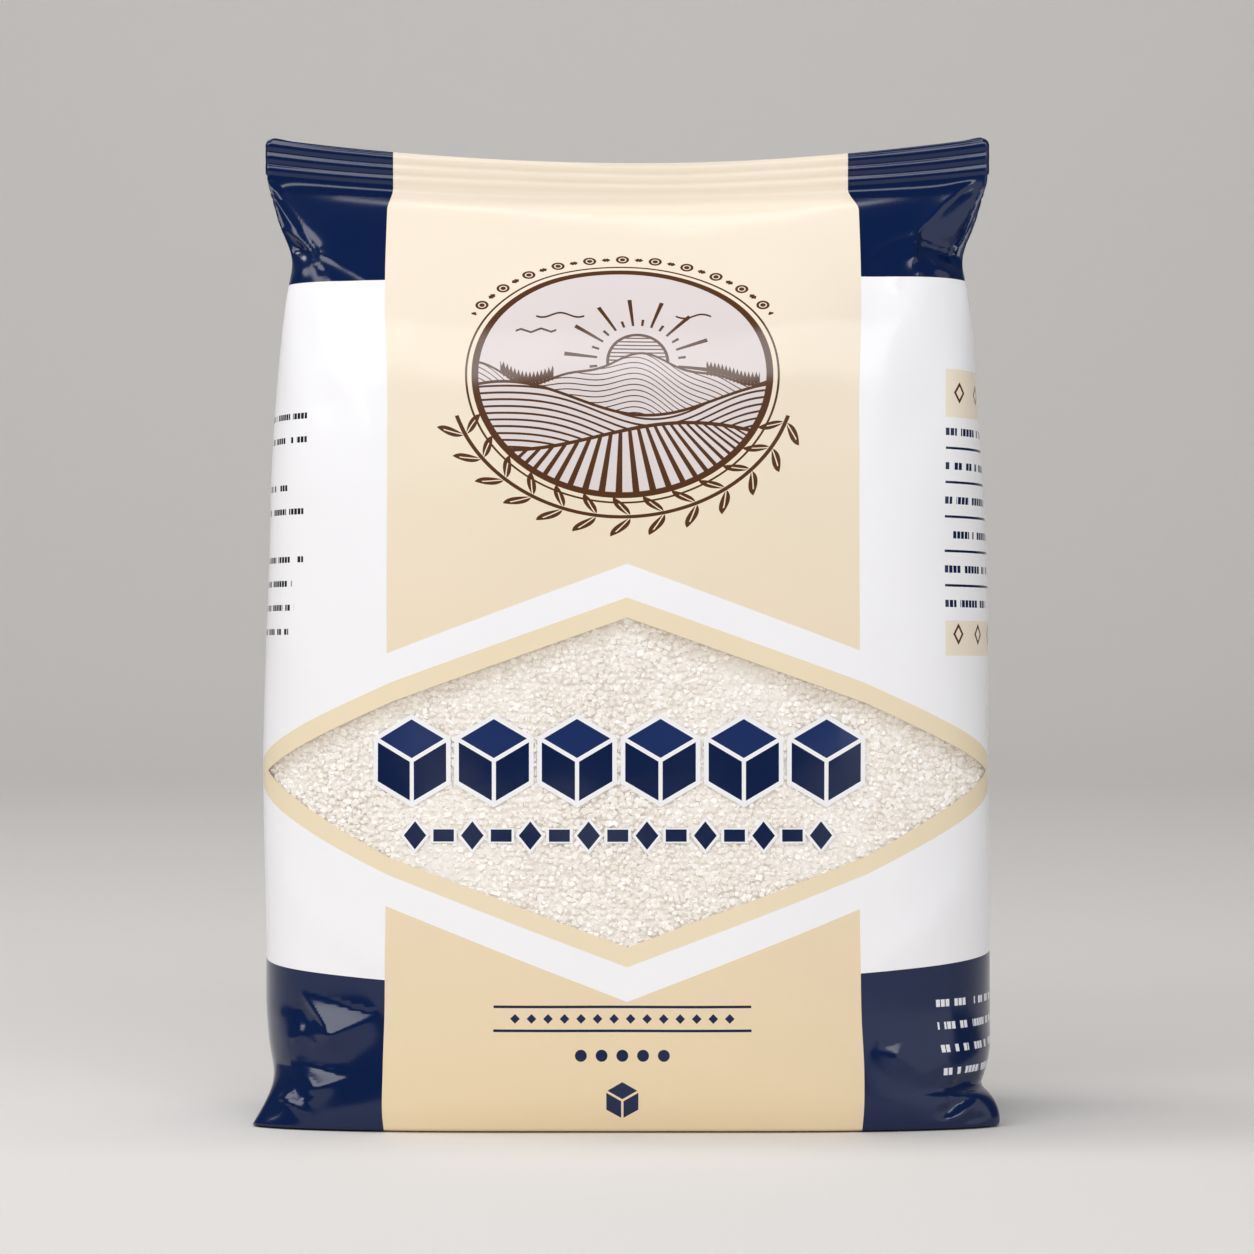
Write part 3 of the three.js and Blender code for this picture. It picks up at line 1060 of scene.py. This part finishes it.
# The emblem: an oval view in a plain frame. Its own places are in mm from the oval's middle.
medal = {
    "middle": (-0.9, 149.0),
    "half": (29.0, 24.0),
    "ring": 1.25,
    "thinRing": (1.4, 1.8),  # from the oval's edge
    "sun": (3.0, 2.2),
    "sunRadius": 6.2,
    "sunRim": 0.6,
    "rays": 28,
    "rayHalf": 0.13,  # of the space from one ray to the next
    "rayEnds": (8.0, 9.5, 14.5),  # from the sun's middle: their start, a short ray's end, a long one's
    "cloudHeight": 12.5,
    "clouds": ((-17.0, -7.5), (10.5, 17.5)),
    "birdHeight": 8.6,
    "birds": (-21.0, -13.0),
    "hedges": ((-24.0, -13.5), (16.5, 27.0)),
    "leaves": 32,  # that would go all round
    "leafPlaces": (-14.5, -1.5),  # in leaves from the right
    "beadPlaces": (2.5, 13.5),
    "stemOut": 4.6,
    "beadOut": 4.0,
}


def wave(x, speed, shift, rise):
    return (x * speed + shift).make("SINE") * rise


def distance(p, q):
    return (p * p + q * q).make("SQRT")


def betweenAny(value, spans):
    first, second = spans
    return between(value, *first) | between(value, *second)


def skyLines(x, y):
    # the sun and its rays, thin clouds and birds
    toSunX, toSunY = x - medal["sun"][0], y - medal["sun"][1]
    fromSun = distance(toSunX, toSunY)
    rayPlace = toSunY.make("ARCTAN2", toSunX) * (medal["rays"] / (2 * math.pi))
    start, shortEnd, longEnd = medal["rayEnds"]
    end = (rayPlace.make("FLOOR") % 2.0) * (longEnd - shortEnd) + shortEnd
    rays = (abs(rayPlace % 1.0 - 0.5) < medal["rayHalf"]) & (fromSun > start) & (fromSun < end)
    gaps = (fromSun < medal["sunRadius"] - medal["sunRim"]) & ((y * 1.25) % 1.0 > 0.35)
    sun = (fromSun < medal["sunRadius"]) & ~gaps
    cloud = abs(y - medal["cloudHeight"] - wave(x, 0.9, 0.0, 0.5)) < 0.22
    bird = abs(y - medal["birdHeight"] - abs((x * 0.25) % 1.0 - 0.5) * 1.6) < 0.24
    return rays | sun | (cloud & betweenAny(x, medal["clouds"])) | (bird & between(x, *medal["birds"]))


def landLines(x, y):
    # three hills in front of the sky, the nearest last, each with its own lines and a drawn upper edge
    far = wave(x, 0.16, 1.0, 2.6) + wave(x, 0.41, 0.0, 0.7) + 0.8
    middle = wave(x, 0.11, -2.1, 3.4) - 5.0
    near = wave(x, 0.09, 0.4, 2.6) - 12.5
    farLines = ((y - far) * 0.9 + x * 0.22) % 1.0 > 0.8
    middleLines = ((y - middle) * 0.75 + wave(x, 0.2, 0.0, 0.5)) % 1.0 > 0.68
    nearLines = ((x / (y * -1.0 + 2.0)) * 7.5) % 1.0 > 0.6
    hedge = (abs(y - far - 0.9) < abs((x * 1.35) % 1.0 - 0.5) * -2.4 + 1.7) & (y > far - 0.4)
    hedge = hedge & betweenAny(x, medal["hedges"])
    lines = skyLines(x, y)
    for hill, ownLines, edge in (
        (far, farLines, (abs(y - far) < 0.25) | hedge),
        (middle, middleLines, abs(y - middle) < 0.3),
        (near, nearLines, abs(y - near) < 0.35),
    ):
        onHill = y < hill
        lines = (lines & ~onHill) | (ownLines & onHill) | edge
    return lines


def garlandMarks(turn, away, radius):
    # leaves in pairs on a stem round the lower half of the oval, and beads over the upper half
    step = 2 * math.pi / medal["leaves"]
    along = ((turn + step / 2) % step - step / 2) * (radius * 1.15)
    lean = abs(away - medal["stemOut"])
    bent = abs(along + lean * 0.8 - 1.5)
    spread = (lean - 2.2) / 2.0
    leaf = bent < (spread * spread * -1.0 + 1.0) * 1.05
    vein = (bent < 0.14) & (lean < 3.2)
    garland = (leaf & ~vein) | (lean < 0.36)
    beadOut = away - medal["beadOut"]
    bead = distance(along, beadOut)
    dot = abs(abs(along) - 2.75) + abs(beadOut)
    beads = ((bead < 1.2) & ~between(bead, 0.5, 0.72)) | (dot < 0.6)
    place = turn / step
    return (garland & between(place, *medal["leafPlaces"])) | (beads & between(place, *medal["beadPlaces"]))


def medallion(tree, s, v, colour):
    a, b = medal["half"]
    radius = (a + b) / 2
    x = s - medal["middle"][0]
    y = v - upSheet(medal["middle"][1])
    away = (distance(x / a, y / b) - 1.0) * radius
    turn = (y / b).make("ARCTAN2", x / a)
    inside = away < 0.0
    rings = between(away, -medal["ring"] / 2, medal["ring"] / 2) | between(away, *medal["thinRing"])
    drawn = (landLines(x, y) & inside) | rings | garlandMarks(turn, away, radius)
    return paintAll(tree, colour, (("lilac", inside), ("brown", drawn)))


# On the lower cream panel: a chain of diamonds in a double rule, five dots and a small sugar cube
footPrint = {
    "middle": -0.9,
    "chainHeight": 22.6,
    "chainPitch": 3.2,
    "chainHalf": 22.4,
    "diamondHalf": 0.95,
    "ruleOut": 2.3,
    "ruleHalf": 25.0,
    "ruleLine": 0.26,
    "dotHeight": 15.4,
    "dotPitch": 4.0,
    "dotRadius": 1.15,
    "dotsHalf": 10.0,
    "cubeHeight": 6.6,
    "cubeSize": 3.1,
    "cubeLine": 0.22,
}


def footMarks(s, v):
    x = s - footPrint["middle"]
    up = v - upSheet(footPrint["chainHeight"])
    rules = (abs(abs(up) - footPrint["ruleOut"]) < footPrint["ruleLine"]) & (abs(x) < footPrint["ruleHalf"])
    pitch = footPrint["chainPitch"]
    chain = abs(x % pitch - pitch / 2) + abs(up) < footPrint["diamondHalf"]
    chain = chain & (abs(x) < footPrint["chainHalf"])
    pitch = footPrint["dotPitch"]
    dots = distance((x + pitch / 2) % pitch - pitch / 2, v - upSheet(footPrint["dotHeight"]))
    dots = (dots < footPrint["dotRadius"]) & (abs(x) < footPrint["dotsHalf"])
    up = v - upSheet(footPrint["cubeHeight"])
    inside, _, edges = cubeParts(x, up, footPrint["cubeSize"], 0.0, footPrint["cubeLine"])
    return rules | chain | dots | (inside & ~edges)


# The panel at the right side: swatches with small outlined diamonds above and below ruled rows
sidePanel = {
    "span": (64.5, 108.0),
    "swatches": ((141.5, 151.0), (94.0, 101.0)),
    "diamondPitch": 7.0,
    "diamondHeights": (122.5, 23.8),  # the middle of the two rows, and how far each is from it
    "diamondLine": (0.9, 1.5),
    "ruleSpan": (64.5, 112.0),
    "ruleHeights": (107.0, 136.0),
    "firstRule": 107.75,
    "rulePitch": 6.75,
}


def sidePanelLayers(s, v):
    start = sidePanel["span"][0]
    swatch = betweenAny(v, [[upSheet(z) for z in span] for span in sidePanel["swatches"]])
    swatch = swatch & between(s, *sidePanel["span"])
    pitch = sidePanel["diamondPitch"]
    middle, out = sidePanel["diamondHeights"]
    diamond = abs((s - start) % pitch - pitch / 2) + abs(abs(v - upSheet(middle)) - out) * 0.7
    rule = abs((v - upSheet(sidePanel["firstRule"])) % sidePanel["rulePitch"] - 0.25) < 0.25
    rule = rule & between(s, *sidePanel["ruleSpan"])
    rule = rule & between(v, *(upSheet(z) for z in sidePanel["ruleHeights"]))
    outlines = swatch & between(diamond, *sidePanel["diamondLine"])
    return ("creamTop", swatch), ("brown", outlines), ("navy", rule)


def bandLine(name):
    height, slopes = bands[name]
    return upSheet(height), slopes


def printAndShadeColour(tree, s, v):
    # cream band, navy blocks, white sides, the border round the window, and the marks
    half = sheet["girth"] / 2
    run = abs(s)
    fromBack = run * -1.0 + half
    isBack = run > half / 2
    isRight = s > 0.0
    runHere = run.make("MINIMUM", fromBack)
    inHead = ((v - upSheet(bands["bendsFrom"])) / bands["bendRun"]).eased() * 0.7
    atSeal = ((v - (sheet["sealStart"] - 7)) / 6.5).eased()
    frontBand = (s > atSeal - inHead + bands["left"]) & (s < inHead - atSeal * 2.0 + bands["right"])
    band = frontBand | (fromBack < bands["backHalf"])
    strip = diamondField(runHere, v, bandLine("stripTop"), bandLine("stripBottom"))
    border = diamondField(runHere, v, bandLine("borderTop"), bandLine("borderBottom"))
    top, bottom = (windowTop[0], window["topSlopes"]), (windowBottom[0], window["bottomSlopes"])
    backField = diamondField(runHere, v, top, bottom) & isBack
    topEdge, footEdge = (isRight * (right - left) + upSheet(left)
                         for left, right in (bands["navyTop"], bands["navyBottom"]))
    footEdge = footEdge + (runHere - bands["navyRiseFrom"]) * bands["navyRise"]
    navy = ((v > topEdge) | (v < footEdge)) & ~band
    # painted shade: the cream band runs from its top colour down to a darker, warmer foot colour
    low, high = (upSheet(height) for height in bands["shading"])
    footShade = ((v * -1.0 + high) / (high - low)).clamped()
    cream = paint(tree, ink["creamTop"], ink["creamShadedFoot"], footShade)
    colour = paint(tree, ink["white"], ink["navy"], navy)
    colour = paint(tree, colour, cream, band & ~strip)
    colour = paintAll(tree, colour, (("border", border), ("white", backField)))
    colour = medallion(tree, s, v, colour)
    return paintAll(tree, colour, (
        ("navy", footMarks(s, v) & frontBand),
        *sidePanelLayers(s, v),
        ("black", rowsOfMarks(s, v, "left")),
        ("navy", rowsOfMarks(s, v, "right") | rowsOfMarks(s, v, "amounts")),
        ("pale", rowsOfMarks(s, v, "foot") & navy),
        ("navy", rowsOfMarks(fromBack, v, "back") & isRight & isBack),
    ))


def addSocket(group, name, side, kind, value=None):
    socket = group.interface.new_socket(name=name, in_out=side, socket_type=kind)
    if value is not None:
        socket.default_value = value


def filmGrain():
    # the film's fine unevenness: soft wrinkles, a finer crinkle, and gloss that comes and goes
    group = bpy.data.node_groups.new("film_surface", "ShaderNodeTree")
    addSocket(group, "Gloss", "INPUT", "NodeSocketFloat", 0.27)
    addSocket(group, "Height", "OUTPUT", "NodeSocketFloat")
    addSocket(group, "Roughness", "OUTPUT", "NodeSocketFloat")
    taken = group.nodes.new("NodeGroupInput")
    given = group.nodes.new("NodeGroupOutput")
    place = group.nodes.new("ShaderNodeTexCoord")
    noises = []
    for scale, detail, twist in ((22.0, 1.0, 0.4), (110.0, 2.0, 0.5), (45.0, 2.0, 0.0)):
        noise = group.nodes.new("ShaderNodeTexNoise")
        noise.inputs["Scale"].default_value = scale
        noise.inputs["Detail"].default_value = detail
        noise.inputs["Distortion"].default_value = twist
        group.links.new(place.outputs["Object"], noise.inputs["Vector"])
        noises.append(Field(group, noise.outputs["Fac"]))
    height = noises[0] * 0.8 + noises[1] * 0.1
    roughness = noises[2] * 0.12 - 0.06 + Field(group, taken.outputs["Gloss"])
    group.links.new(height.socket, given.inputs["Height"])
    group.links.new(roughness.socket, given.inputs["Roughness"])
    return group


filmSurface = filmGrain()


def addFilmSurface(tree, gloss, shaders):
    # the group and a bump node fed by it give these shaders their roughness and normals
    surface = tree.nodes.new("ShaderNodeGroup")
    surface.node_tree = filmSurface
    surface.inputs["Gloss"].default_value = gloss
    bump = tree.nodes.new("ShaderNodeBump")
    bump.inputs["Strength"].default_value = 0.5
    bump.inputs["Distance"].default_value = 1.0 * mm
    tree.links.new(surface.outputs["Height"], bump.inputs["Height"])
    for shader in shaders:
        tree.links.new(surface.outputs["Roughness"], shader.inputs["Roughness"])
        tree.links.new(bump.outputs[0], shader.inputs["Normal"])


def printedFilm():
    material, tree, output = newMaterial("printed_film")
    shader = tree.nodes.new("ShaderNodeBsdfPrincipled")
    colour = printAndShadeColour(tree, *sheetPlace(tree))
    tree.links.new(colour, shader.inputs["Base Color"])
    addFilmSurface(tree, 0.16, [shader])
    parts = tree.nodes.new("ShaderNodeSeparateColor")
    tree.links.new(colour, parts.inputs[0])
    isDark = Field(tree, parts.outputs[0]) < 0.1  # the dark print is glossier than the pale
    tree.links.new((isDark * 0.24 + 0.2).socket, shader.inputs["Specular IOR Level"])
    tree.links.new(shader.outputs[0], output.inputs[0])
    return material


def clearFilm():
    # see-through film, glossy on its outside, with its own print and painted shade under its upper edge
    material, tree, output = newMaterial("clear_film")
    s, v = sheetPlace(tree)
    through = tree.nodes.new("ShaderNodeBsdfTransparent")
    gloss = tree.nodes.new("ShaderNodeBsdfGlossy")
    printed = tree.nodes.new("ShaderNodeBsdfPrincipled")
    addFilmSurface(tree, 0.14, [gloss, printed])
    edge = tree.nodes.new("ShaderNodeFresnel")
    edge.inputs[0].default_value = 1.4
    side = tree.nodes.new("ShaderNodeNewGeometry")
    clear = tree.nodes.new("ShaderNodeMixShader")
    outside = ~Field(tree, side.outputs["Backfacing"])
    tree.links.new((Field(tree, edge.outputs[0]) & outside).socket, clear.inputs[0])
    tree.links.new(through.outputs[0], clear.inputs[1])
    tree.links.new(gloss.outputs[0], clear.inputs[2])
    navy, top, white = windowMarks(s, v)
    colour = paintAll(tree, ink["shade"], (("navy", navy), ("paleNavy", top), ("white", white)))
    tree.links.new(colour, printed.inputs["Base Color"])
    # painted shade: the tan tint is strongest at the window's upper edge and fades out over shadeRun mm below
    # it
    below = (bentLine(abs(s), windowTop[0], window["topSlopes"], -1) - v) / windowPrintAndShade["shadeRun"]
    shade = ((below * -1.0 + 1.0) * windowPrintAndShade["shade"]).make("MAXIMUM", 0.0)
    mix = tree.nodes.new("ShaderNodeMixShader")
    tree.links.new((navy | white | shade).socket, mix.inputs[0])
    tree.links.new(clear.outputs[0], mix.inputs[1])
    tree.links.new(printed.outputs[0], mix.inputs[2])
    tree.links.new(mix.outputs[0], output.inputs[0])
    return material


def newSugar(name):
    material, tree, output = newMaterial(name)
    shader = tree.nodes.new("ShaderNodeBsdfPrincipled")
    shader.inputs["Emission Color"].default_value = (1, 0.96, 0.9, 1)
    shader.inputs["Emission Strength"].default_value = 0.09  # painted light: a faint glow that stands in for light that has come through the crystals
    tree.links.new(shader.outputs[0], output.inputs[0])
    return material, tree, shader


def crystalSugar():
    # each crystal has its own tone
    material, tree, shader = newSugar("sugar_grains")
    tone = tree.nodes.new("ShaderNodeAttribute")
    tone.attribute_name = "grainTone"
    mask = Field(tree, tone.outputs["Fac"])
    colour = paint(tree, linear(238, 231, 222), linear(251, 247, 242), mask)
    tree.links.new(colour, shader.inputs["Base Color"])
    tree.links.new((mask * 0.25 + 0.12).socket, shader.inputs["Roughness"])
    return material


def packedSugar():
    # the core looks like crystals that lie close together
    material, tree, shader = newSugar("sugar_core")
    place = tree.nodes.new("ShaderNodeTexCoord")
    cells = tree.nodes.new("ShaderNodeTexVoronoi")
    cells.inputs["Scale"].default_value = 900
    tree.links.new(place.outputs["Object"], cells.inputs["Vector"])
    near = Field(tree, cells.outputs["Distance"])
    # painted shade: each cell is darker towards its edges, where the crystals meet
    colour = paint(tree, linear(244, 239, 232), linear(231, 223, 212), near)
    tree.links.new(colour, shader.inputs["Base Color"])
    shader.inputs["Roughness"].default_value = 0.45
    bump = tree.nodes.new("ShaderNodeBump")
    bump.inputs["Strength"].default_value = 0.6
    bump.inputs["Distance"].default_value = 0.3 * mm
    tree.links.new((near * -1.0).socket, bump.inputs["Height"])
    tree.links.new(bump.outputs[0], shader.inputs["Normal"])
    return material


filmMaterial = printedFilm()
for piece in (film, seam, fold):
    piece.data.materials.clear()
    piece.data.materials.append(filmMaterial)
windowFilm.data.materials.append(clearFilm())
core.data.materials.append(packedSugar())
grains.data.materials.append(crystalSugar())

for piece in (film, windowFilm, seam, fold, core, grains):
    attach(piece, "root")

# Stage, light and camera
stage = {
    "halfWidth": 2.0,
    "front": -1.3,
    "back": 1.1,
    "corner": 0.5,
    "cornerSteps": 12,
    "wallHeight": 1.4,
    "colour": linear(232, 229, 225),
}


def makeFloor():
    # a floor whose back edge curves up into a wall
    depth = stage["back"] - stage["front"]
    bpy.ops.mesh.primitive_plane_add(size=1, location=(0, stage["front"] + depth / 2, 0))
    piece = bpy.context.object
    piece.name = piece.data.name = "floor"
    piece.scale = (2 * stage["halfWidth"], depth, 1)
    bpy.ops.object.transform_apply(location=True, rotation=True, scale=True)
    mesh = piece.data
    atBack = [vertex.co.y > stage["back"] - 0.01 for vertex in mesh.vertices]
    mesh.vertices.foreach_set("select", atBack)
    mesh.edges.foreach_set("select", [all(atBack[k] for k in edge.vertices) for edge in mesh.edges])
    mesh.polygons.foreach_set("select", [False] * len(mesh.polygons))
    bpy.ops.object.mode_set(mode="EDIT")
    bpy.ops.mesh.select_mode(type="EDGE")
    turned = np.linspace(0, math.pi / 2, stage["cornerSteps"] + 1)
    runs = np.append(np.diff(np.sin(turned)) * stage["corner"], 0)
    rises = np.append(np.diff(-np.cos(turned)) * stage["corner"], stage["wallHeight"])
    for run, rise in zip(runs, rises):
        bpy.ops.mesh.extrude_edges_move(TRANSFORM_OT_translate={"value": (0, run, rise)})
    bpy.ops.mesh.select_all(action="SELECT")
    bpy.ops.mesh.normals_make_consistent(inside=False)
    bpy.ops.object.mode_set(mode="OBJECT")
    bpy.ops.object.shade_smooth_by_angle(angle=math.radians(40))
    material, tree, output = newMaterial("floor")
    shader = tree.nodes.new("ShaderNodeBsdfPrincipled")
    shader.inputs["Base Color"].default_value = stage["colour"]
    shader.inputs["Roughness"].default_value = 0.75
    tree.links.new(shader.outputs[0], output.inputs[0])
    piece.data.materials.append(material)


def areaLight(name, place, target, size, power, colour=(1, 1, 1)):
    bpy.ops.object.light_add(type="AREA", location=place)
    light = bpy.context.object
    light.name = name
    light.data.shape = "RECTANGLE"
    light.data.size, light.data.size_y = size
    light.data.energy = power
    light.data.color = colour
    light.rotation_euler = (Vector(target) - Vector(place)).to_track_quat("-Z", "Y").to_euler()


bpy.ops.object.select_all(action="DESELECT")
makeFloor()
aim = (0, 0, 0.1)
cool = (0.97, 0.97, 1)
areaLight("key_light", (-0.97, -0.78, 0.85), aim, (1.0, 0.52), 7.3)
areaLight("fill_light", (1.0, -0.8, 0.45), aim, (1.4, 1.0), 4.0, (0.97, 0.98, 1))
areaLight("front_light", (0.05, -0.87, 0.8), aim, (1.1, 0.3), 4.9, cool)
areaLight("left_light", (-0.62, 0.08, 1.15), (0, 0, 0.18), (0.36, 0.36), 3.4, cool)
areaLight("wall_light", (0, 0.3, 1.6), (0, 1.5, 0.4), (1.6, 0.4), 7.0)
world = bpy.data.worlds.new("studio")
world.use_nodes = True
world.node_tree.nodes["Background"].inputs[0].default_value = (0.95, 0.96, 1, 1)
world.node_tree.nodes["Background"].inputs[1].default_value = 0.12
bpy.context.scene.world = world

camera = {
    "lens": 132.5,
    "middleRow": 627,  # of the photograph, in its pixels
    "levelRow": 495,  # where the camera's own height is seen
    "distance": 4615,  # from the lens to the picture, in pixels
}
pitchDown = math.atan((camera["middleRow"] - camera["levelRow"]) / camera["distance"])
bpy.ops.object.camera_add(location=eye, rotation=(math.pi / 2 - pitchDown, 0, 0))
view = bpy.context.object
view.data.lens = camera["lens"]
view.data.sensor_width = 36
view.data.clip_start = 0.01
bpy.context.scene.camera = view
bpy.context.scene.view_settings.view_transform = "Standard"
print("stage set")
